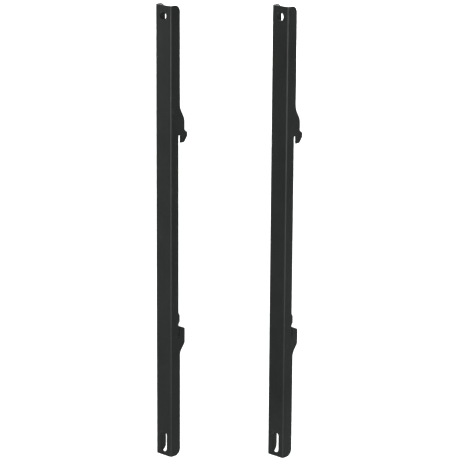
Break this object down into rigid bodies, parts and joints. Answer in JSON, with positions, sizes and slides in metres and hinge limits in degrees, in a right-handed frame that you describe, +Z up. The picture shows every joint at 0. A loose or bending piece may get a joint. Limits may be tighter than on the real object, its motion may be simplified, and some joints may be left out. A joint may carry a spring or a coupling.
{
  "type": "hook-on display mounting strip pair",
  "caption": "Pair of folded steel mounting strips with a screw hole, a screw slot, rail hooks, lower catches and a hidden levelling jack, for hanging a display on a wall rail.",
  "frame": {"origin": "centre of the left strip's screw hole, on the face that meets the display", "axes": "+X across the strip, towards the right strip, +Y from the display towards the wall, +Z up along the strip"},
  "size_m": [0.145, 0.135, 0.635],
  "materials": {
    "coated_steel": "satin black powder coat",
    "zinc_steel": "bright zinc plate",
    "nylon": "moulded glass-filled nylon, matt"
  },
  "bodies": {
    "left_channel": {"left_strip": "coated_steel", "left_jack_bridge": "coated_steel", "left_jack_nut": "coated_steel"},
    "left_foot": {"left_jack_foot": "nylon"},
    "left_screw": {"left_jack_screw": "zinc_steel"},
    "right_channel": {"right_strip": "coated_steel", "right_jack_bridge": "coated_steel", "right_jack_nut": "coated_steel"},
    "right_foot": {"right_jack_foot": "nylon"},
    "right_screw": {"right_jack_screw": "zinc_steel"}
  },
  "joints": [
    {"name": "left_foot_slide", "type": "slide", "parent": "left_channel", "child": "left_foot", "axis": [0, 0, -1], "range_m": [0, 0.008]},
    {"name": "left_screw_turn", "type": "hinge", "parent": "left_foot", "child": "left_screw", "pos_m": [0, 0.017, -0.1505], "axis": [0, 0, -1], "range_deg": [0, 2304]},
    {"name": "right_strip_place", "type": "slide", "parent": "left_channel", "child": "right_channel", "axis": [0.9889, -0.1489, 0], "range_m": [0, 0.69171]},
    {"name": "right_foot_slide", "type": "slide", "parent": "right_channel", "child": "right_foot", "axis": [0, 0, -1], "range_m": [0, 0.008]},
    {"name": "right_screw_turn", "type": "hinge", "parent": "right_foot", "child": "right_screw", "pos_m": [0.116, 0.12, -0.1505], "axis": [0, 0, -1], "range_deg": [0, 2304]}
  ],
  "couplings": [
    {"joint": "left_foot_slide", "follows": "left_screw_turn", "m_per_rad": 0.00019894},
    {"joint": "right_foot_slide", "follows": "right_screw_turn", "m_per_rad": 0.00019894}
  ]
}
